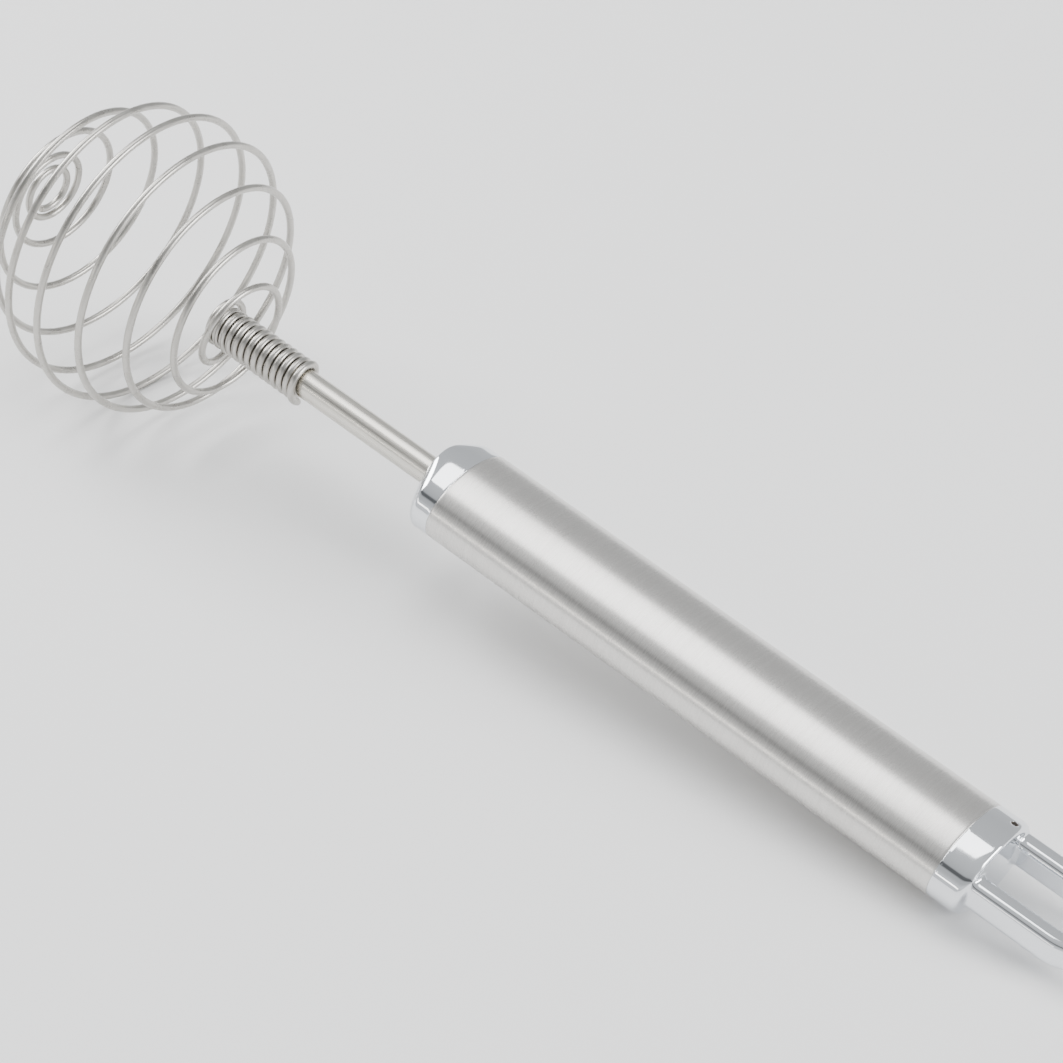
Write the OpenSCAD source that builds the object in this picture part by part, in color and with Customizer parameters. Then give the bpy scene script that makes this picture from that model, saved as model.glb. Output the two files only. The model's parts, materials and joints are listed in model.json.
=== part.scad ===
// Spring-wire ball whisk with an oval steel grip.
// The origin is the middle of the grip tube, on its axis.
// +X runs towards the wire ball, +Y across the hanging loop, +Z up.

/* [Grip tube] */
// Length of the oval grip tube
tube_len = 119.3; // [100:0.1:140]
// Width of the oval, across the hanging loop
grip_w = 24; // [23:0.5:28]
// Height of the oval
grip_h = 16; // [15.5:0.5:20]
// Wall of the grip tube
tube_wall = 0.8; // [0.6:0.1:1]

/* [Caps] */
// Length of the front cap outside the tube
front_cap_len = 8; // [7.5:0.1:10]
// Length of the rear cap's body outside the tube
rear_body_len = 6.8; // [6.6:0.1:8.5]
// Straight band of the front cap beside the tube, before its sides round in
front_band = 3.4; // [2:0.1:4.5]
// Straight band of the rear cap beside the tube, before its sides round in
rear_band = 4.6; // [3:0.1:5]
// Depth of the rounding at the front cap's upper and lower edges
front_edge = 1.5; // [1:0.1:2.5]
// Depth of the rounding at the rear cap's upper and lower edges
rear_edge = 1.2; // [1:0.1:2.5]

/* [Rod and fixing] */
// Diameter of the polished rod
rod_d = 5.9; // [5.6:0.1:6.5]
// Rod showing between the front cap and the coil
rod_show = 34; // [20:0.5:60]
// Depth that the rod's shoulder sits in the front cap
rod_seat = 3; // [2:0.5:3.5]
// Diameter of the rod's threaded tail
thread_d = 5; // [4:0.5:5]
// Size of the retaining nut across its flats
nut_flats = 8; // [7.5:0.5:8]
// Outside diameter of the washer
washer_d = 10; // [9:0.5:10]

/* [Neck coil] */
// Diameter of the spring wire
wire_d = 1.5; // [1.2:0.1:1.6]
// Closely wound turns on the rod
coil_turns = 13; // [8:1:16]
// Distance from one turn of the coil to the next
coil_pitch = 1.76; // [1.7:0.02:2]

/* [Wire ball] */
// Greatest radius of the ball, to the middle of the wire
ball_r = 31.4; // [28:0.2:34]
// Half the length of the ball along its axis, to the middle of the wire
ball_half_len = 28.8; // [26:0.1:31]
// Turns of wire between the tip and the neck
ball_turns = 11; // [10:1:12]
// How far the ball's middle sits above the axis of the grip
ball_rise = 2.4; // [0:0.1:3]
// How far the ball's middle sits to the side of that axis
ball_side = -0.6; // [-2:0.1:2]

/* [Hanging loop] */
// Width of the loop's bar
bar_w = 4.5; // [3.6:0.1:5]
// Thickness of the loop's bar
bar_t = 6.3; // [5:0.1:7]
// Corner radius of the loop's bar
bar_r = 1.3; // [0.8:0.1:1.6]
// Radius of the half-round inside end of the loop
hook_r = 5.3; // [4.6:0.1:5.6]
// Distance from the tube to the centre of the half-round end
hook_reach = 22.6; // [18:0.1:28]
// How far the loop sits above the middle of the oval
loop_rise = 0.8; // [0:0.1:1.2]

/* [Hidden] */

tube_half = tube_len / 2;
rod_r = rod_d / 2;
wire_r = wire_d / 2;

// Facets: sides of the oval, sides of the wire, rings of wire per turn
oval_sides = 72;
wire_sides = 8;
ball_rings = 32;
coil_rings = 24;
corner_steps = 5;

// Spigots that the caps push into the tube
spigot_len = 10;
spigot_gap = 0.05;
spigot_wall = 1.3;
front_wall = 6;
rear_floor = 4.8;
// How full the caps' rounding is: 2 is an ellipse
front_power = 1.72;
rear_power = 2.6;
front_edge_power = 2;
rear_edge_power = 4;
cap_steps = 14;
// How far round its curve a cap is followed before a small flat nose closes it
nose_angle = 88;

// Rod, washer and nut
cap_face_x = tube_half + front_cap_len;
rod_seat_x = cap_face_x - rod_seat;
cavity_end_x = cap_face_x - front_wall;
seat_gap = 0.03;
thread_gap = 0.02;
rod_chamfer = 0.4;
washer_t = 1;
washer_gap = 0.15;
nut_t = 4;
tail_end_x = cavity_end_x - washer_t - nut_t - 1.5;

// Neck coil: it is wound from the ball back along the rod
coil_gap = 0.06;
coil_r = rod_r + wire_r + coil_gap;
coil_rear_x = cap_face_x + rod_show + wire_r;
coil_front_x = coil_rear_x + coil_turns * coil_pitch;
rod_end_x = coil_front_x - 1;
// The loose last turn at the rear end of the coil
flare_turns = 0.9;
flare_r = 0.45;

// Ball: the wire climbs from the tip's flat spiral to the neck's flat spiral
tip_polar = 7.5;
neck_polar = 173.6;
lead_in = 1.4;
lead_out = 0.95;
lead_ease = 0.55;
polar_step = (neck_polar - tip_polar) / (ball_turns - lead_in - lead_out);
start_azimuth = 296.8;
ball_x = coil_front_x + 0.8 * ball_half_len;
// The neck's spiral leaves the ball's surface to meet the coil's front end
neck_turns = 1.6;
neck_ease = 0.9;
neck_overshoot = 0.55;
shift_fade = 4;
// The head's own wire ends where it crosses the flexing axis, level with the rod
flex_turn = ball_turns - 1 + (start_azimuth - 180) / 360;
wire_gap = 0.4;
flex_r = -ball_point(flex_turn).y;
gap_turns = wire_gap / (4 * PI * flex_r);

// Rear cap
body_end_x = -tube_half - rear_body_len;
arm_y = hook_r + bar_w / 2;
hook_x = -tube_half - hook_reach;
arm_root_x = -tube_half - 4;
inner_fillet = 1.5;
vent_d = 1.5;
vent_depth = 2.5;
vent_x = -tube_half - 4.9;
vent_y = -5.6;

function smooth(x) = let (s = min(max(x, 0), 1)) s * s * (3 - 2 * s);
function mix(a, b, w) = a + (b - a) * w;
function unit(v) = v / norm(v);
// Zero before x = 0 and a slope of one after it, with a soft bend between
function soft_ramp(x) = lead_ease * ln(1 + exp(x / lead_ease));

// Polar angle of the wire, measured at the ball's centre from the tip, after t turns
function polar(t) = tip_polar + polar_step
    * (soft_ramp(t - lead_in) - soft_ramp(t - ball_turns + lead_out));

function around(x, r, azimuth) = [x, r * cos(azimuth), r * sin(azimuth)];

function ball_shift(t) = smooth((flex_turn - t) / shift_fade) * [0, ball_side, ball_rise];

function ball_point(t) = let (
        last = max(t - ball_turns + 1, 0),
        w = smooth((t - ball_turns + neck_turns) / neck_ease),
        x = mix(ball_x + ball_half_len * cos(polar(t)), coil_front_x, w),
        r = mix(ball_r * sin(polar(t)), coil_r, last * last))
    around(x + neck_overshoot * sin(180 * last), r, start_azimuth - 360 * t) + ball_shift(t);

function coil_point(t) = let (
        n = t - ball_turns,
        loose = smooth((n - coil_turns + flare_turns) / flare_turns))
    around(coil_front_x - coil_pitch * n, coil_r + flare_r * loose, start_azimuth - 360 * t);

function wire_point(t) = t < ball_turns ? ball_point(t) : coil_point(t);

// One ring of the wire's surface: about point p, square to the wire, starting along out
function wire_ring(p, along, out) = let (
        n = unit(out - (out * along) * along),
        b = cross(along, n))
    [for (i = [0 : wire_sides - 1])
        p + wire_r * (cos(360 * i / wire_sides) * n + sin(360 * i / wire_sides) * b)];

function wire_rings(t0, t1, per_turn, centre) = let (count = ceil((t1 - t0) * per_turn), dt = 0.001)
    [for (k = [0 : count]) let (
            t = mix(t0, t1, k / count),
            p = wire_point(t),
            along = unit(wire_point(t + dt) - wire_point(t - dt)))
        wire_ring(p, along, centre == undef ? [0, p.y, p.z] : p - centre)];

// The oval outline, drawn in from the grip's size by inset
function oval(inset) = [for (i = [0 : oval_sides - 1]) let (a = 360 * i / oval_sides)
    [(grip_w / 2 - inset) * cos(a), (grip_h / 2 - inset) * sin(a)]];

// A rectangle of width w and height h with rounded corners, about the point c
function rounded_bar(c, w, h, r) = [for (q = [0 : 3], k = [0 : corner_steps]) let (
        a = 90 * (q + k / corner_steps),
        sx = q == 0 || q == 3 ? 1 : -1,
        sy = q < 2 ? 1 : -1)
    c + [sx * (w / 2 - r) + r * cos(a), sy * (h / 2 - r) + r * sin(a)]];

// A closed solid through rings of points, each turning right-handed about the way ahead
module loft(rings) {
    n = len(rings[0]);
    last = (len(rings) - 1) * n;
    sides = [for (k = [0 : len(rings) - 2], i = [0 : n - 1]) let (
            a = k * n + i,
            b = k * n + (i + 1) % n)
        each [[a, a + n, b + n], [a, b + n, b]]];
    first_face = [for (i = [0 : n - 1]) i];
    last_face = [for (i = [n - 1 : -1 : 0]) last + i];
    polyhedron([for (ring = rings) each ring], concat(sides, [first_face, last_face]));
}

// Extrudes a flat outline along +X from x, its own x across the loop and its y upwards
module along_x(x, length) {
    translate([x, 0, 0])
        rotate([90, 0, 90])
            linear_extrude(length)
                children();
}

module disc_x(x, length, d) {
    translate([x, 0, 0])
        rotate([0, 90, 0])
            cylinder(h = length, d = d, $fn = 64);
}

module whisk_ball() {
    color([0.72, 0.71, 0.68])
        loft(wire_rings(0, flex_turn - gap_turns, ball_rings, [ball_x, 0, 0]));
}

module neck_coil() {
    color([0.70, 0.69, 0.66])
        loft(wire_rings(flex_turn + gap_turns, ball_turns + coil_turns, coil_rings));
}

module shank_rod() {
    color([0.78, 0.77, 0.72]) {
        disc_x(rod_seat_x, rod_end_x - rod_chamfer - rod_seat_x, rod_d);
        translate([rod_end_x - rod_chamfer, 0, 0])
            rotate([0, 90, 0])
                cylinder(h = rod_chamfer, r1 = rod_r, r2 = rod_r - rod_chamfer, $fn = 64);
        disc_x(tail_end_x, rod_seat_x - tail_end_x, thread_d);
    }
}

// Size of a cap's section at a distance from the tube, where it rounds from start to length
function rounded(size, distance, start, length, power) =
    size * pow(1 - pow(max(distance - start, 0) / (length - start), power), 1 / power);

function cap_ring(x, distance, length, band, power, edge, edge_power) = let (
        a = rounded(grip_w / 2, distance, band, length, power),
        b = rounded(grip_h / 2, distance, length - edge, length, edge_power))
    [for (i = [0 : oval_sides - 1]) let (t = 360 * i / oval_sides) [x, a * cos(t), b * sin(t)]];

// Distances of a cap's rings from the tube, closer together towards its nose
function cap_distances(length) = [for (k = [0 : cap_steps]) length * sin(nose_angle * k / cap_steps)];

module front_cap() {
    color([0.85, 0.87, 0.90])
        difference() {
            union() {
                loft([for (d = cap_distances(front_cap_len))
                    cap_ring(tube_half + d, d, front_cap_len, front_band, front_power, front_edge,
                        front_edge_power)]);
                along_x(tube_half - spigot_len, spigot_len + 1)
                    polygon(oval(tube_wall + spigot_gap));
            }
            along_x(tube_half - spigot_len - 1, cavity_end_x - tube_half + spigot_len + 1)
                polygon(oval(tube_wall + spigot_gap + spigot_wall));
            disc_x(rod_seat_x, rod_seat + 1, rod_d + 2 * seat_gap);
            disc_x(cavity_end_x - 1, rod_seat_x - cavity_end_x + 2, thread_d + 2 * seat_gap);
        }
}

module handle_tube() {
    color([0.74, 0.73, 0.71])
        along_x(-tube_half, tube_len)
            difference() {
                polygon(oval(0));
                polygon(oval(tube_wall));
            }
}

module loop_arm(side) {
    along_x(hook_x, arm_root_x - hook_x)
        polygon(rounded_bar([side * arm_y, loop_rise], bar_w, bar_t, bar_r));
}

module loop_end() {
    translate([hook_x, 0, loop_rise])
        rotate([0, 0, 90])
            rotate_extrude(angle = 180, $fn = 96)
                polygon(rounded_bar([arm_y, 0], bar_w, bar_t, bar_r));
}

// Fills the slot's inner corner between an arm and the body with a round
module slot_corner(side) {
    translate([body_end_x, side * hook_r, loop_rise])
        linear_extrude(bar_t - 2 * bar_r, center = true)
            rotate(side > 0 ? 180 : 90)
                difference() {
                    square(inner_fillet);
                    translate([inner_fillet, inner_fillet])
                        circle(inner_fillet, $fn = 48);
                }
}

module rear_cap() {
    color([0.85, 0.87, 0.90])
        difference() {
            union() {
                loft([for (k = [cap_steps : -1 : 0]) let (d = cap_distances(rear_body_len)[k])
                    cap_ring(-tube_half - d, d, rear_body_len, rear_band, rear_power, rear_edge,
                        rear_edge_power)]);
                along_x(-tube_half - 1, spigot_len + 1)
                    polygon(oval(tube_wall + spigot_gap));
                loop_arm(1);
                loop_arm(-1);
                loop_end();
                slot_corner(1);
                slot_corner(-1);
            }
            along_x(body_end_x + rear_floor, rear_body_len - rear_floor + spigot_len + 1)
                polygon(oval(tube_wall + spigot_gap + spigot_wall));
            translate([vent_x, vent_y, grip_h / 2 - 1 - vent_depth])
                cylinder(h = vent_depth + 2, d = vent_d, $fn = 32);
        }
}

module washer() {
    color([0.75, 0.75, 0.76])
        difference() {
            disc_x(cavity_end_x - washer_t, washer_t, washer_d);
            disc_x(cavity_end_x - washer_t - 1, washer_t + 2, thread_d + 2 * washer_gap);
        }
}

module retaining_nut() {
    nut_x = cavity_end_x - washer_t - nut_t;
    color([0.70, 0.70, 0.71])
        difference() {
            translate([nut_x, 0, 0])
                rotate([0, 90, 0])
                    cylinder(h = nut_t, d = nut_flats / cos(30), $fn = 6);
            disc_x(nut_x - 1, nut_t + 2, thread_d + 2 * thread_gap);
        }
}

whisk_ball();
neck_coil();
shank_rod();
front_cap();
handle_tube();
rear_cap();
washer();
retaining_nut();
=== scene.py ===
"""A spring-wire ball whisk with an oval brushed steel grip and chrome caps.

Lengths below are in millimetres in the CAD frame: +X runs from the grip to the wire ball, +Y across the
hanging loop and +Z up. mesh_object() turns them into metres.
"""
import json
import math

import bmesh
import bpy
import numpy as np
from mathutils import Matrix, Vector


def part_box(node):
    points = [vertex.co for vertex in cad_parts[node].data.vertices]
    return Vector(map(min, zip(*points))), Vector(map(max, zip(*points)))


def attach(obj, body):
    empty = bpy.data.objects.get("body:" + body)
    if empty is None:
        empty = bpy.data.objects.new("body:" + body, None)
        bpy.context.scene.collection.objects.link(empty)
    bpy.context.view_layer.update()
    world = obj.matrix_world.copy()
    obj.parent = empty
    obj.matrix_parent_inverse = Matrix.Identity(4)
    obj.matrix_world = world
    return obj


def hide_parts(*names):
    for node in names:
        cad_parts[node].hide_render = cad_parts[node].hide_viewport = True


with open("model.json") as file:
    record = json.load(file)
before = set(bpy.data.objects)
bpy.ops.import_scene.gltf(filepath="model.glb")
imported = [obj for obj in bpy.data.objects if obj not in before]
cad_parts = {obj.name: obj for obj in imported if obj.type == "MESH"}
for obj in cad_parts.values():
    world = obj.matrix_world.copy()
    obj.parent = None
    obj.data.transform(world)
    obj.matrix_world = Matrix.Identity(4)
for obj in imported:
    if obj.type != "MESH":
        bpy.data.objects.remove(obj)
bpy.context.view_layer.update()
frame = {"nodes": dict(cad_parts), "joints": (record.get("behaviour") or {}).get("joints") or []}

MM = 0.001

# ---------------------------------------------------------------- sizes


def node_box(node):
    """Lowest and highest corner of a CAD node in millimetres."""
    low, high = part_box(node)
    return np.array(low) / MM, np.array(high) / MM


# Grip tube: half its length, and the half width and half height of its oval
TUBE_HALF, GRIP_A, GRIP_B = node_box("handle_tube")[1]
TUBE_WALL = 0.8
TUBE_EDGE = 0.12
SPIGOT_LEN = 10
SPIGOT_GAP = 0.05
SPIGOT_WALL = 1.3
RING_SIDES = 192
RING_TURN = np.arange(RING_SIDES) * 2 * math.pi / RING_SIDES

# Front cap: length outside the tube, straight band, fullness of its sides, and depth of its edges
FRONT_LEN = 8
FRONT_BAND = 3.4
FRONT_POWER = 1.72
FRONT_EDGE = 1.5
FRONT_WALL = 6
CAP_FACE = TUBE_HALF + FRONT_LEN

# Rear cap: its sides would close REAR_CLOSE from the tube, but it is cut square at REAR_LEN
REAR_LEN = 6.8
REAR_CLOSE = 8.0
REAR_BAND = 4.6
REAR_POWER = 2.6
REAR_ROUND = 0.8
REAR_LEAST_A = 9
REAR_OVERLAP = 0.5
SEAM = 0.02

# Hanging loop: a bar round a slot with a half-round end
BAR_W = 4.5
BAR_T = 6.3
BAR_R = 1.7
HOOK_R = 5.3
HOOK_REACH = 22.6
HOOK_X = -TUBE_HALF - HOOK_REACH
LOOP_RISE = 0.8
LOOP_BLEND = 1.2
ARM_Y = HOOK_R + BAR_W / 2

# Vent in the top of the rear cap
VENT_X = -TUBE_HALF - 4.9
VENT_Y = -5.6
VENT_R = 0.75
VENT_FLOOR = 4.5
VENT_TOP = 10

# Rod: its ends and radius, and the seat in the front cap where its shoulder stops
ROD_LOW, ROD_HIGH = node_box("shank_rod")
TAIL_END = ROD_LOW[0]
ROD_END = ROD_HIGH[0]
ROD_R = ROD_HIGH[2]
ROD_SEAT_DEPTH = 3
ROD_SEAT = CAP_FACE - ROD_SEAT_DEPTH
TAIL_R = 2.5
ROD_EDGE = 0.5

# Wire and the coil that it makes on the rod
WIRE_R = 0.75
COIL_GAP = 0.06
COIL_R = ROD_R + WIRE_R + COIL_GAP
COIL_TURNS = 13
COIL_PITCH = 1.76
COIL_FRONT = frame["joints"][0]["pos_m"][0] / MM
FLARE_TURNS = 0.9
FLARE_R = 0.45

# Ball: greatest radius and half length to the middle of the wire, and its middle's place
BALL_R = 31.4
BALL_HALF = 28.8
BALL_X = COIL_FRONT + 0.8 * BALL_HALF
BALL_TURNS = 11
BALL_SHIFT = np.array([0, -0.6, 2.4])
# The wire's angle from the tip climbs evenly, with a soft start and end
TIP_POLAR = 7.5
NECK_POLAR = 173.6
LEAD_IN = 1.4
LEAD_OUT = 0.95
LEAD_EASE = 0.55
POLAR_STEP = (NECK_POLAR - TIP_POLAR) / (BALL_TURNS - LEAD_IN - LEAD_OUT)
START_AZIMUTH = 296.8
# Near the neck the wire leaves the ball's surface to meet the coil
NECK_TURNS = 1.6
NECK_EASE = 0.9
NECK_OVERSHOOT = 0.55
SHIFT_FADE = 4
FLEX_TURN = BALL_TURNS - 1 + (START_AZIMUTH - 180) / 360

# ---------------------------------------------------------------- mesh helpers


def mesh_object(name, points, faces):
    """Makes a smooth-shaded object from points in millimetres and faces."""
    mesh = bpy.data.meshes.new(name)
    mesh.from_pydata([tuple(p) for p in np.asarray(points) * MM], [], [tuple(map(int, f)) for f in faces])
    mesh.validate()
    mesh.update()
    mesh.shade_smooth()
    piece = bpy.data.objects.new(name, mesh)
    bpy.context.scene.collection.objects.link(piece)
    return piece


def skin(rings, closed=False):
    """Points and faces of a skin through rings of equal size; the ends get flat faces unless closed."""
    rings = np.asarray(rings, float)
    count, n = rings.shape[:2]
    faces = []
    for k in range(count if closed else count - 1):
        a = k * n
        b = ((k + 1) % count) * n
        for i in range(n):
            j = (i + 1) % n
            faces.append((a + i, a + j, b + j, b + i))
    if not closed:
        faces.append(tuple(range(n - 1, -1, -1)))
        faces.append(tuple(range((count - 1) * n, count * n)))
    return rings.reshape(-1, 3), faces


def smooth_step(x):
    """Climbs smoothly from 0 to 1 as x does."""
    s = np.clip(x, 0, 1)
    return s * s * (3 - 2 * s)


def mix(a, b, w):
    """The value that lies the fraction w of the way from a to b."""
    return a + (b - a) * w


def sweep(path, radius, sides, outward):
    """Rings of a round wire along path; outward gives each ring's starting direction."""
    along = np.gradient(path, axis=0)
    along /= np.linalg.norm(along, axis=1)[:, None]
    n = outward - np.sum(outward * along, 1)[:, None] * along
    n /= np.linalg.norm(n, axis=1)[:, None]
    b = np.cross(along, n)
    angle = np.arange(sides) * 2 * math.pi / sides
    radius = np.broadcast_to(radius, len(path))[:, None, None]
    across = np.cos(angle)[None, :, None] * n[:, None] + np.sin(angle)[None, :, None] * b[:, None]
    return path[:, None] + radius * across


def round_ends(path, radius, steps=5):
    """Adds small rounded ends to a path: returns the longer path and the radius at each of its points."""
    k = np.arange(steps) / steps
    inset = radius * 0.35
    reach = inset * np.sin(k * math.pi / 2)
    size = radius - inset * (1 - np.cos(k * math.pi / 2))
    d0 = (path[0] - path[1]) / np.linalg.norm(path[0] - path[1])
    d1 = (path[-1] - path[-2]) / np.linalg.norm(path[-1] - path[-2])
    first = path[0] + reach[::-1, None] * d0
    last = path[-1] + reach[:, None] * d1
    radii = np.concatenate([size[::-1], np.full(len(path) - 2, radius), size])
    return np.concatenate([first, path[1:-1], last]), radii


# ---------------------------------------------------------------- the wire


def soft_ramp(x):
    """Near zero below 0 and near x above it, with a soft bend between."""
    return LEAD_EASE * np.logaddexp(0, x / LEAD_EASE)


def polar(t):
    """Angle of the wire from the tip, in degrees, after t turns."""
    return TIP_POLAR + POLAR_STEP * (soft_ramp(t - LEAD_IN) - soft_ramp(t - BALL_TURNS + LEAD_OUT))


def around(x, r, azimuth):
    """Points r away from the X axis, at azimuths in degrees from +Y towards +Z."""
    a = np.radians(azimuth)
    return np.stack([x + 0 * a, r * np.cos(a), r * np.sin(a)], -1)


def ball_path(t):
    """Middle of the wire over the ball, t turns from the tip."""
    last = np.clip(t - BALL_TURNS + 1, 0, 1)
    w = smooth_step((t - BALL_TURNS + NECK_TURNS) / NECK_EASE)
    p = np.radians(polar(t))
    x = mix(BALL_X + BALL_HALF * np.cos(p), COIL_FRONT, w) + NECK_OVERSHOOT * np.sin(math.pi * last)
    r = mix(BALL_R * np.sin(p), COIL_R, last * last)
    shift = smooth_step((FLEX_TURN - t) / SHIFT_FADE)[:, None] * BALL_SHIFT
    return around(x, r, START_AZIMUTH - 360 * t) + shift


def coil_path(t):
    """Middle of the wire over the coil on the rod, t turns from the tip."""
    n = t - BALL_TURNS
    loose = smooth_step((n - COIL_TURNS + FLARE_TURNS) / FLARE_TURNS)
    return around(COIL_FRONT - COIL_PITCH * n, COIL_R + FLARE_R * loose, START_AZIMUTH - 360 * t)


def wire_path(t):
    """Middle of the whole wire, t turns from the tip."""
    return np.where((t < BALL_TURNS)[:, None], ball_path(t), coil_path(t))


def make_ball():
    """The wire from the tip to where it crosses the flexing axis."""
    t = np.arange(0, FLEX_TURN + 1e-6, 1 / 96)
    t = np.append(t[t < FLEX_TURN - 0.004], FLEX_TURN)
    path, radii = round_ends(wire_path(t), WIRE_R)
    points, faces = skin(sweep(path, radii, 20, path - [BALL_X, 0, 0]))
    return mesh_object("ball_wire", points, faces)


def make_neck():
    """The wire from the flexing axis to its end on the rod."""
    t = np.linspace(FLEX_TURN, BALL_TURNS + COIL_TURNS, 56 * COIL_TURNS)
    path, radii = round_ends(wire_path(t), WIRE_R)
    points, faces = skin(sweep(path, radii, 20, path * [0, 1, 1]))
    return mesh_object("neck_wire", points, faces)


# ---------------------------------------------------------------- rod, tube and front cap


def lathe(name, profile, sides=96):
    """A solid turned about the X axis from (x, radius) points."""
    angle = np.arange(sides) * 2 * math.pi / sides
    rings = [around(x, r, np.degrees(angle)) for x, r in profile]
    points, faces = skin(rings)
    return mesh_object(name, points, faces)


def oval_ring(x, inset):
    """One ring of the grip's oval, drawn in by inset."""
    a = RING_TURN
    return np.stack([x + 0 * a, (GRIP_A - inset) * np.cos(a), (GRIP_B - inset) * np.sin(a)], -1)


def arc(cx, cr, rx, rr, start, end, steps):
    """Points (cx + rx sin a, cr + rr cos a) from angle start to end, in degrees."""
    return [(cx + rx * math.sin(math.radians(a)), cr + rr * math.cos(math.radians(a)))
            for a in np.linspace(start, end, steps)]


def oval_shell(name, profile):
    """A closed ring-shaped shell: profile is a closed loop of (x, inset) points."""
    points, faces = skin([oval_ring(x, inset) for x, inset in profile], closed=True)
    return mesh_object(name, points, faces)


def make_rod():
    """The rod and its thinner tail, which passes through the front cap's wall."""
    edge = ROD_EDGE
    front = arc(ROD_END - edge, ROD_R - edge, edge, edge, 0, 90, 5)
    profile = [(TAIL_END, TAIL_R - 0.4), (TAIL_END + 0.4, TAIL_R), (ROD_SEAT - 0.01, TAIL_R),
               (ROD_SEAT, TAIL_R + 0.05), (ROD_SEAT + 0.01, ROD_R - 0.05), (ROD_SEAT + 0.06, ROD_R)]
    profile += [(x, ROD_R) for x in np.linspace(ROD_SEAT + 1, ROD_END - edge - 0.5, 40)]
    return lathe("rod", profile + front)


def make_tube():
    """The oval tube, open at both ends, with its outer edges softened."""
    r = TUBE_EDGE
    outer = [(x, 0) for x in np.linspace(-TUBE_HALF + 0.5, TUBE_HALF - 0.5, 60)]
    inner = [(x, TUBE_WALL) for x in np.linspace(TUBE_HALF - 0.3, -TUBE_HALF + 0.3, 12)]
    profile = [(-TUBE_HALF, TUBE_WALL / 2), (-TUBE_HALF, r),
               (-TUBE_HALF + 0.3 * r, 0.3 * r), (-TUBE_HALF + r, 0)]
    profile += outer
    profile += [(TUBE_HALF - r, 0), (TUBE_HALF - 0.3 * r, 0.3 * r),
                (TUBE_HALF, r), (TUBE_HALF, TUBE_WALL / 2)]
    profile += inner
    return oval_shell("grip_tube", profile)


# ---------------------------------------------------------------- rear cap


NET_STEP = 0.26
NET_ROOM = 0.6
NET_ROUNDS = 8


def surface_net(field, low, high, step):
    """Points and faces of the surface where field(points) is zero, on a regular grid."""
    counts = [int(math.ceil((b - a) / step)) + 1 for a, b in zip(low, high)]
    axes = [a + step * np.arange(n) for a, n in zip(low, counts)]
    inside = field(np.stack(np.meshgrid(*axes, indexing="ij"), -1)) < 0
    cells = np.zeros([n - 1 for n in counts], int)
    for i in (0, 1):
        for j in (0, 1):
            for k in (0, 1):
                cells += inside[i:counts[0] - 1 + i, j:counts[1] - 1 + j, k:counts[2] - 1 + k]
    mixed = (cells > 0) & (cells < 8)
    index = np.full(mixed.shape, -1)
    index[mixed] = np.arange(mixed.sum())
    points = np.array(low) + step * (np.argwhere(mixed) + 0.5)
    for _ in range(NET_ROUNDS):
        points = points - pull(field, points, step)
    return points, np.concatenate([net_faces(inside, index, axis) for axis in range(3)])


def pull(field, points, step):
    """The move that takes points on to the surface, at most a fraction of a cell at a time."""
    h = 0.01
    grad = np.stack([(field(points + h * e) - field(points - h * e)) / (2 * h) for e in np.eye(3)], -1)
    size = np.linalg.norm(grad, axis=-1, keepdims=True)
    move = field(points)[:, None] * grad / np.maximum(size, 0.2) ** 2
    length = np.linalg.norm(move, axis=1, keepdims=True)
    return move * np.minimum(1, 0.5 * step / np.maximum(length, 1e-9))


def net_faces(inside, index, axis):
    """Quads across the grid edges along one axis whose two ends lie on different sides."""
    u, v = [(1, 2), (2, 0), (0, 1)][axis]
    first = np.take(inside, range(inside.shape[axis] - 1), axis)
    second = np.take(inside, range(1, inside.shape[axis]), axis)
    edges = np.argwhere(first != second)
    leaving = first[tuple(edges.T)]
    quad = []
    for du, dv in ((-1, -1), (0, -1), (0, 0), (-1, 0)):
        cell = edges.copy()
        cell[:, u] += du
        cell[:, v] += dv
        quad.append(index[tuple(cell.T)])
    quad = np.stack(quad, 1)
    quad[~leaving] = quad[~leaving][:, ::-1]
    return quad


def soft_union(a, b, k):
    """Joins the distances to two shapes, with a fillet about k wide."""
    h = np.clip(0.5 + 0.5 * (b - a) / k, 0, 1)
    return mix(b, a, h) - k * h * (1 - h)


def rounded_box(dx, dy, r):
    """Distance to a box of which dx and dy are the distances past its sides, with edges rounded by r."""
    qx = dx + r
    qy = dy + r
    return np.hypot(np.maximum(qx, 0), np.maximum(qy, 0)) + np.minimum(np.maximum(qx, qy), 0) - r


def oval_distance(y, z, a, b):
    """Near the outline, the distance to the oval with half axes a and b."""
    k1 = np.sqrt((y / a) ** 2 + (z / b) ** 2)
    k2 = np.sqrt((y / a ** 2) ** 2 + (z / b ** 2) ** 2)
    return k1 * (k1 - 1) / np.maximum(k2, 1e-6)


def rounded(size, distance, start, length, power):
    """Half size of a cap's section at a distance from the tube, where it rounds from start to length."""
    part = np.clip((distance - start) / (length - start), 0, 1)
    return size * (1 - part ** power) ** (1 / power)


def rear_body(x, y, z):
    """The oval body: its sides round in towards the loop and its end is cut square."""
    d = -TUBE_HALF - x
    a = np.maximum(rounded(GRIP_A, d, REAR_BAND, REAR_CLOSE, REAR_POWER), REAR_LEAST_A)
    across = oval_distance(y, z, a, GRIP_B)
    return rounded_box(across, np.maximum(d - REAR_LEN, -REAR_OVERLAP - d), REAR_ROUND)


def rear_field(p):
    """Below zero inside the rear cap's body and hanging loop."""
    x, y, z = p[..., 0], p[..., 1], p[..., 2]
    along = np.maximum(HOOK_X - x, 0)
    off = np.hypot(along, y) - ARM_Y
    loop = rounded_box(np.abs(off) - BAR_W / 2, np.abs(z - LOOP_RISE) - BAR_T / 2, BAR_R)
    loop = np.maximum(loop, x + TUBE_HALF + 2)
    return soft_union(rear_body(x, y, z), loop, LOOP_BLEND)


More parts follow.
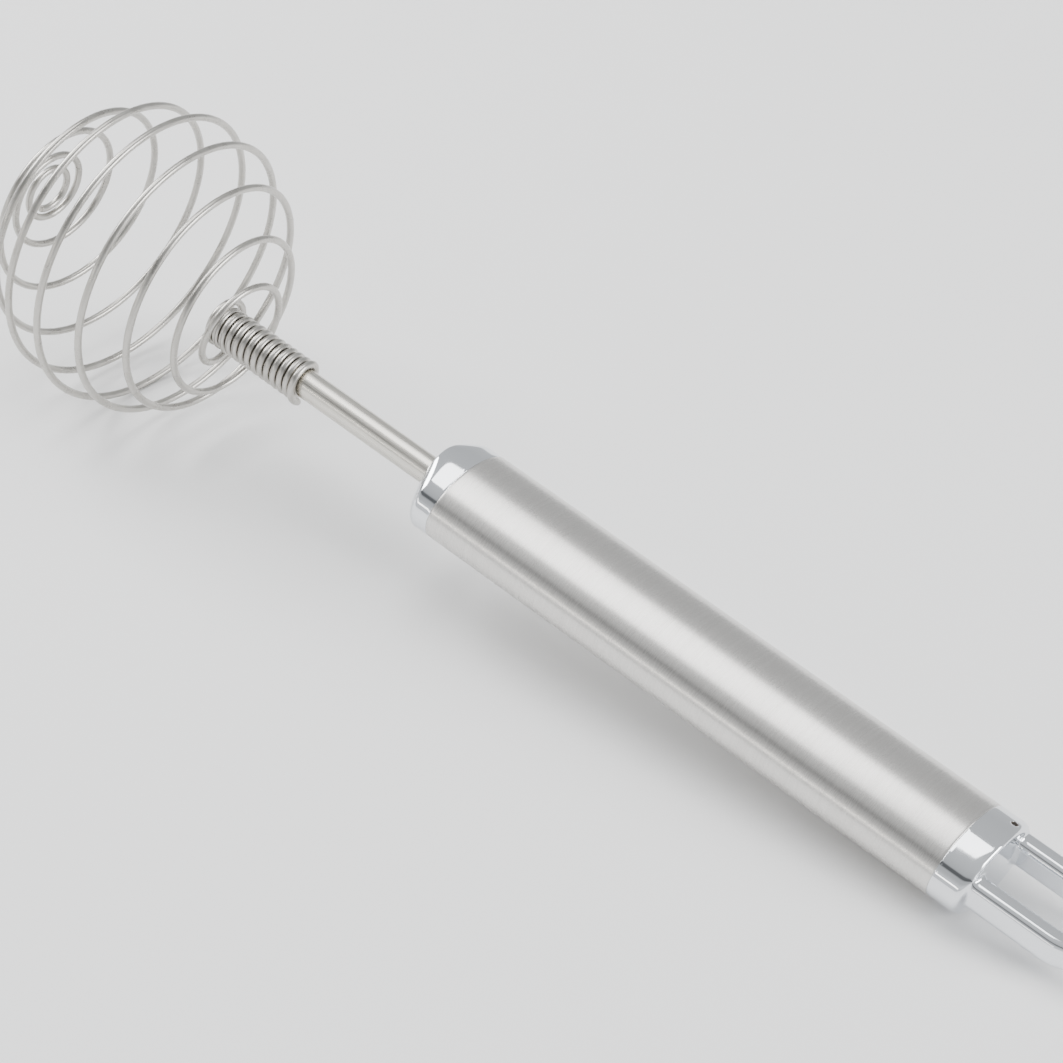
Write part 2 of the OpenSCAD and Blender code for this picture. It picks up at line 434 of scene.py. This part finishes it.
def cut_flat(piece, x):
    """Cuts a piece square across at x, keeps the far side and closes it."""
    work = bmesh.new()
    work.from_mesh(piece.data)
    everything = work.verts[:] + work.edges[:] + work.faces[:]
    cut = bmesh.ops.bisect_plane(work, geom=everything, plane_co=(x * MM, 0, 0), plane_no=(1, 0, 0),
                                 clear_outer=True)
    rim = [e for e in cut["geom_cut"] if isinstance(e, bmesh.types.BMEdge)]
    bmesh.ops.holes_fill(work, edges=rim)
    bmesh.ops.recalc_face_normals(work, faces=work.faces)
    work.to_mesh(piece.data)
    work.free()


def drill(piece, tool):
    """Cuts the tool's shape out of the piece for good."""
    cut = piece.modifiers.new("cut", "BOOLEAN")
    cut.operation = "DIFFERENCE"
    cut.solver = "EXACT"
    cut.object = tool
    bpy.context.view_layer.update()
    evaluated = piece.evaluated_get(bpy.context.evaluated_depsgraph_get())
    mesh = bpy.data.meshes.new_from_object(evaluated)
    piece.modifiers.clear()
    piece.data = mesh
    bpy.data.objects.remove(tool)


def peg(low, high, radius, centre, sides=48):
    """A round bar along Z from low to high."""
    a = np.arange(sides) * 2 * math.pi / sides
    ring = [np.stack([centre[0] + radius * np.cos(a), centre[1] + radius * np.sin(a), h + 0 * a], -1)
            for h in (low, high)]
    return mesh_object("peg", *skin(ring))


def make_rear_cap():
    """The cap's body and loop in one casting, with the vent cut into it."""
    low = (HOOK_X - ARM_Y - BAR_W / 2 - NET_ROOM, -GRIP_A - NET_ROOM, -GRIP_B - NET_ROOM)
    high = (-TUBE_HALF + 0.9, GRIP_A + NET_ROOM, GRIP_B + NET_ROOM)
    points, faces = surface_net(rear_field, low, high, NET_STEP)
    piece = mesh_object("rear_cap_loop", points, faces)
    cut_flat(piece, -TUBE_HALF - SEAM)
    drill(piece, peg(VENT_FLOOR, VENT_TOP, VENT_R, (VENT_X, VENT_Y)))
    return piece


def shade_vent(piece, mat):
    """Gives the vent's inner wall its own dark material: painted shade inside the hole."""
    piece.data.materials.append(mat)
    for face in piece.data.polygons:
        x, y, z = face.center / MM
        if math.hypot(x - VENT_X, y - VENT_Y) < VENT_R + 0.01 and z > VENT_FLOOR - 0.1:
            face.material_index = 1


def make_rear_spigot():
    """The hollow plug that pushes into the tube's rear end."""
    outer = TUBE_WALL + SPIGOT_GAP
    inner = outer + SPIGOT_WALL
    start = -TUBE_HALF - 1.5
    end = -TUBE_HALF + SPIGOT_LEN
    profile = [(start, outer), (end - 0.4, outer), (end, outer + 0.4), (end, inner), (start, inner)]
    return oval_shell("rear_cap_plug", profile)


def front_ring(d):
    """The front cap's half width and half height at a distance from the tube."""
    half_width = rounded(GRIP_A, d, FRONT_BAND, FRONT_LEN, FRONT_POWER)
    half_height = rounded(GRIP_B, d, FRONT_LEN - FRONT_EDGE, FRONT_LEN, 2)
    return half_width, half_height


def front_skin():
    """Rings over the front cap's outside, from the tube until they close in on the rod."""
    turn = RING_TURN
    rings = []
    nose = 0
    for k in np.linspace(0.06, 1, 44):
        d = FRONT_LEN * math.sin(k * math.pi / 2)
        ya, zb = front_ring(d)
        if min(ya, zb) < ROD_R + 0.4:
            break
        nose = d
        rings.append(np.stack([TUBE_HALF + d + 0 * turn, ya * np.cos(turn), zb * np.sin(turn)], -1))
    return rings, TUBE_HALF + nose


def make_front_cap():
    """Spigot, seam, outside, bore and cavity, followed as one closed loop of rings."""
    spigot = TUBE_WALL + SPIGOT_GAP
    profile = [(TUBE_HALF - SPIGOT_LEN, 1.4), (TUBE_HALF - SPIGOT_LEN + 0.4, spigot),
               (TUBE_HALF - 0.3, spigot), (TUBE_HALF + SEAM, spigot),
               (TUBE_HALF + SEAM, 0.15), (TUBE_HALF + 0.06, 0.04), (TUBE_HALF + 0.15, 0)]
    rings = [oval_ring(x, inset) for x, inset in profile]
    outside, tip = front_skin()
    rings += outside
    bore = [(tip + 0.04, ROD_R + 0.12), (tip - 0.05, ROD_R + 0.03), (ROD_SEAT, ROD_R + 0.03),
            (ROD_SEAT, TAIL_R + 0.1), (CAP_FACE - FRONT_WALL, TAIL_R + 0.1)]
    rings += [around(x, r, np.degrees(RING_TURN)) for x, r in bore]
    cavity = (CAP_FACE - FRONT_WALL, TUBE_HALF - SPIGOT_LEN)
    rings += [oval_ring(x, spigot + SPIGOT_WALL) for x in cavity]
    points, faces = skin(rings, closed=True)
    return mesh_object("front_cap_shell", points, faces)


# ---------------------------------------------------------------- materials


def new_material(name, color, roughness, metallic=1.0):
    """A material with its node tree and shader."""
    mat = bpy.data.materials.new(name)
    mat.use_nodes = True
    shader = mat.node_tree.nodes["Principled BSDF"]
    shader.inputs["Base Color"].default_value = (*color, 1)
    shader.inputs["Roughness"].default_value = roughness
    shader.inputs["Metallic"].default_value = metallic
    return mat, mat.node_tree, shader


def add(tree, kind, **values):
    """Adds a node: values name its properties, or its input sockets."""
    node = tree.nodes.new(kind)
    for key, value in values.items():
        if key in node.inputs:
            node.inputs[key].default_value = value
        else:
            setattr(node, key, value)
    return node


def streaks(tree, scale, detail):
    """Noise in object space, stretched by scale (per metre along X, Y and Z)."""
    place = add(tree, "ShaderNodeTexCoord")
    stretch = add(tree, "ShaderNodeMapping", Scale=scale)
    tree.links.new(place.outputs["Object"], stretch.inputs["Vector"])
    noise = add(tree, "ShaderNodeTexNoise", Scale=1.0, Detail=detail, Roughness=0.6)
    tree.links.new(stretch.outputs["Vector"], noise.inputs["Vector"])
    return noise.outputs["Fac"]


# Noise values lie mostly between these two
NOISE_LOW = 0.3
NOISE_HIGH = 0.7


def remap(tree, value, low, high):
    """Spreads noise over the range from low to high."""
    node = add(tree, "ShaderNodeMapRange")
    tree.links.new(value, node.inputs["Value"])
    node.inputs["From Min"].default_value = NOISE_LOW
    node.inputs["From Max"].default_value = NOISE_HIGH
    node.inputs["To Min"].default_value = low
    node.inputs["To Max"].default_value = high
    return node.outputs["Result"]


def tint(tree, value, dark, light):
    """Mixes two colours by value."""
    node = add(tree, "ShaderNodeMix", data_type="RGBA")
    tree.links.new(value, node.inputs["Factor"])
    node.inputs["A"].default_value = (*dark, 1)
    node.inputs["B"].default_value = (*light, 1)
    return node.outputs["Result"]


def bump(tree, shader, value, depth_mm, strength):
    """Adds fine relief to a shader."""
    node = add(tree, "ShaderNodeBump", Strength=strength, Distance=depth_mm * MM)
    tree.links.new(value, node.inputs["Height"])
    tree.links.new(node.outputs["Normal"], shader.inputs["Normal"])


def brushed_tube_material():
    """Steel brushed across the grip's length."""
    mat, tree, shader = new_material("brushed_tube_steel", (0.66, 0.65, 0.63), 0.25)
    fine = streaks(tree, (16000, 500, 500), 3)
    broad = streaks(tree, (2500, 60, 60), 4)
    tree.links.new(remap(tree, fine, 0.24, 0.32), shader.inputs["Roughness"])
    tree.links.new(tint(tree, remap(tree, broad, 0, 1), (0.63, 0.613, 0.59), (0.69, 0.673, 0.65)),
                   shader.inputs["Base Color"])
    shader.inputs["Anisotropic"].default_value = 0.35
    shader.inputs["Anisotropic Rotation"].default_value = 0.25
    tangent = add(tree, "ShaderNodeTangent", direction_type="RADIAL", axis="X")
    tree.links.new(tangent.outputs["Tangent"], shader.inputs["Tangent"])
    bump(tree, shader, fine, 0.0015, 0.4)
    return mat


def chrome_material():
    """Bright plating, a little uneven."""
    mat, tree, shader = new_material("bright_chrome", (0.79, 0.81, 0.84), 0.05)
    cloud = streaks(tree, (150, 150, 150), 3)
    tree.links.new(remap(tree, cloud, 0.04, 0.10), shader.inputs["Roughness"])
    bump(tree, shader, streaks(tree, (260, 260, 260), 2), 0.02, 0.3)
    return mat


def rod_material():
    """Polished steel with faint lengthwise lines."""
    mat, tree, shader = new_material("polished_rod_steel", (0.67, 0.645, 0.59), 0.26)
    fine = streaks(tree, (60, 3000, 3000), 3)
    tree.links.new(remap(tree, fine, 0.24, 0.32), shader.inputs["Roughness"])
    tree.links.new(tint(tree, remap(tree, fine, 0, 1), (0.64, 0.615, 0.56), (0.70, 0.675, 0.62)),
                   shader.inputs["Base Color"])
    bump(tree, shader, fine, 0.001, 0.3)
    return mat


def wire_material():
    """Satin drawn wire."""
    mat, tree, shader = new_material("spring_wire_steel", (0.48, 0.465, 0.435), 0.25)
    cloud = streaks(tree, (250, 250, 250), 3)
    grain = streaks(tree, (1800, 1800, 1800), 3)
    tree.links.new(remap(tree, cloud, 0.24, 0.34), shader.inputs["Roughness"])
    tree.links.new(tint(tree, remap(tree, cloud, 0, 1), (0.45, 0.435, 0.405), (0.52, 0.505, 0.475)),
                   shader.inputs["Base Color"])
    bump(tree, shader, grain, 0.002, 0.3)
    return mat


def vent_shade_material():
    """Dark brown, a little uneven, for the vent's wall: painted shade inside the hole."""
    mat, tree, shader = new_material("vent_painted_shade", (0.10, 0.085, 0.075), 0.7, 0.3)
    cloud = streaks(tree, (900, 900, 900), 4)
    tree.links.new(tint(tree, remap(tree, cloud, 0, 1), (0.07, 0.06, 0.05), (0.13, 0.11, 0.10)),
                   shader.inputs["Base Color"])
    return mat


def zinc_material():
    """Dull zinc plate, for the hidden washer and nut."""
    mat, tree, shader = new_material("zinc_plate", (0.58, 0.58, 0.60), 0.35)
    cloud = streaks(tree, (900, 900, 900), 4)
    tree.links.new(remap(tree, cloud, 0.28, 0.45), shader.inputs["Roughness"])
    bump(tree, shader, cloud, 0.01, 0.3)
    return mat


def floor_material():
    """Pale matt paper."""
    mat, tree, shader = new_material("pale_paper", (0.965, 0.965, 0.965), 0.7, 0.0)
    cloud = streaks(tree, (40, 40, 40), 4)
    tree.links.new(remap(tree, cloud, 0.62, 0.78), shader.inputs["Roughness"])
    return mat


def assign(piece, mat):
    """Makes mat the piece's only material."""
    piece.data.materials.clear()
    piece.data.materials.append(mat)


# ---------------------------------------------------------------- pieces


def settle(piece, mat, body, node):
    """Gives a piece its material and body, and hides the CAD node it replaces."""
    assign(piece, mat)
    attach(piece, body)
    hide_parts(node)
    return piece


wire_steel = wire_material()
chrome = chrome_material()
zinc = zinc_material()
ball = settle(make_ball(), wire_steel, "head", "whisk_ball")
settle(make_neck(), wire_steel, "handle", "neck_coil")
settle(make_rod(), rod_material(), "handle", "shank_rod")
tube = settle(make_tube(), brushed_tube_material(), "handle", "handle_tube")
settle(make_front_cap(), chrome, "handle", "front_cap")
rear_cap = settle(make_rear_cap(), chrome, "handle", "rear_cap")
# The vent's wall gets a dark material: painted shade inside the hole
shade_vent(rear_cap, vent_shade_material())
settle(make_rear_spigot(), chrome, "handle", "rear_cap")
for hidden in ("washer", "retaining_nut"):
    assign(frame["nodes"][hidden], zinc)

# ---------------------------------------------------------------- floor, light and camera


FLOOR_HALF = 3.0
REST_ROUNDS = 20


def vertices(piece):
    """A piece's vertices as rows of metres."""
    co = np.zeros(len(piece.data.vertices) * 3)
    piece.data.vertices.foreach_get("co", co)
    return co.reshape(-1, 3)


def resting_plane():
    """A point on the floor and its normal: the whisk lies on its ball and on the grip's rear end."""
    normal = np.array([0, 0, 1.0])
    head = vertices(ball)
    grip = np.concatenate([vertices(tube), vertices(rear_cap)])
    for _ in range(REST_ROUNDS):
        a = head[np.argmin(head @ normal)]
        b = grip[np.argmin(grip @ normal)]
        along = (a - b) * [1, 0, 1]
        normal = np.array([-along[2], 0, along[0]]) / np.linalg.norm(along)
    return a, normal


def make_floor():
    """A wide flat floor that touches the whisk from below."""
    touch, normal = resting_plane()
    turn = Vector((0, 0, 1)).rotation_difference(Vector(normal)).to_matrix()
    signs = ((-1, -1), (1, -1), (1, 1), (-1, 1))
    corners = [turn @ Vector((sx * FLOOR_HALF, sy * FLOOR_HALF, 0)) for sx, sy in signs]
    mesh = bpy.data.meshes.new("floor")
    mesh.from_pydata([Vector(touch) + c for c in corners], [], [(0, 1, 2, 3)])
    floor = bpy.data.objects.new("floor", mesh)
    bpy.context.scene.collection.objects.link(floor)
    assign(floor, floor_material())


def area_light(name, place, target, size, power, color):
    """A rectangular lamp at place that points at target."""
    light = bpy.data.lights.new(name, "AREA")
    light.shape = "RECTANGLE"
    light.size, light.size_y = size
    light.energy = power
    light.color = color
    lamp = bpy.data.objects.new(name, light)
    bpy.context.scene.collection.objects.link(lamp)
    lamp.location = place
    lamp.rotation_euler = (Vector(target) - Vector(place)).to_track_quat("-Z", "Y").to_euler()


# Brightness of the studio at places along its arch; the narrow dark band shows as a stripe on the grip
SKY = [(0.0, 0.75), (0.09, 0.85), (0.15, 0.55), (0.2, 0.5), (0.22, 0.12), (0.255, 0.12), (0.275, 0.5),
       (0.36, 0.62), (0.5, 0.72), (0.62, 0.62), (0.85, 0.56), (1.0, 0.62)]


def make_world(strength):
    """A studio whose brightness changes over the arch from the +Y side (0) to the -Y side (1)."""
    world = bpy.data.worlds.new("studio")
    bpy.context.scene.world = world
    world.use_nodes = True
    tree = world.node_tree
    place = add(tree, "ShaderNodeTexCoord")
    split = add(tree, "ShaderNodeSeparateXYZ")
    tree.links.new(place.outputs["Generated"], split.inputs[0])
    arch = add(tree, "ShaderNodeMath", operation="ARCTAN2")
    tree.links.new(split.outputs["Z"], arch.inputs[0])
    tree.links.new(split.outputs["Y"], arch.inputs[1])
    part = add(tree, "ShaderNodeMath", operation="DIVIDE")
    tree.links.new(arch.outputs[0], part.inputs[0])
    part.inputs[1].default_value = math.pi
    ramp = add(tree, "ShaderNodeValToRGB")
    tree.links.new(part.outputs[0], ramp.inputs["Fac"])
    points = ramp.color_ramp.elements
    for k, (where, level) in enumerate(SKY):
        point = points[k] if k < 2 else points.new(where)
        point.position = where
        point.color = (0.965 * level, 0.985 * level, level, 1)
    back = tree.nodes["Background"]
    tree.links.new(ramp.outputs["Color"], back.inputs["Color"])
    back.inputs["Strength"].default_value = strength


# The camera: its lens in mm, its place in metres, and the directions to its right and behind it
CAMERA_LENS = 105.17
CAMERA_PLACE = (-0.18584, 0.37350, 0.40054)
CAMERA_RIGHT = (-0.7530, -0.6372, 0.1640)
CAMERA_BACK = (-0.3875, 0.6309, 0.6721)


def make_camera():
    """Places the camera that frames the whisk as the photo does."""
    camera = bpy.data.cameras.new("camera")
    camera.sensor_width = 36
    camera.lens = CAMERA_LENS
    camera.clip_end = 20
    eye = bpy.data.objects.new("camera", camera)
    bpy.context.scene.collection.objects.link(eye)
    right = Vector(CAMERA_RIGHT).normalized()
    back = Vector(CAMERA_BACK).normalized()
    up = back.cross(right).normalized()
    right = up.cross(back)
    place = Vector(CAMERA_PLACE)
    eye.matrix_world = Matrix((
        (right.x, up.x, back.x, place.x),
        (right.y, up.y, back.y, place.y),
        (right.z, up.z, back.z, place.z),
        (0, 0, 0, 1)))
    bpy.context.scene.camera = eye


# Each light's name, place, aim, size, power and colour
LIGHTS = [
    ("overhead", (0.45, -0.13, 1.15), (0.03, 0, 0), (0.9, 0.6), 7.5, (1, 1, 1)),
    ("front side", (1.5, 0.1, 0.8), (0.03, 0, 0), (0.9, 0.7), 26, (1, 1, 1)),
    ("rear side", (-1.4, -0.5, 0.8), (0.03, 0, 0), (0.9, 0.7), 26, (1, 1, 1)),
    ("strip", (0.39, 0.95, 0.22), (0.0, 0, 0), (1.4, 0.05), 1.3, (1.0, 0.96, 0.9)),
]
WORLD_STRENGTH = 1.24

make_floor()
make_world(WORLD_STRENGTH)
for light in LIGHTS:
    area_light(*light)
make_camera()
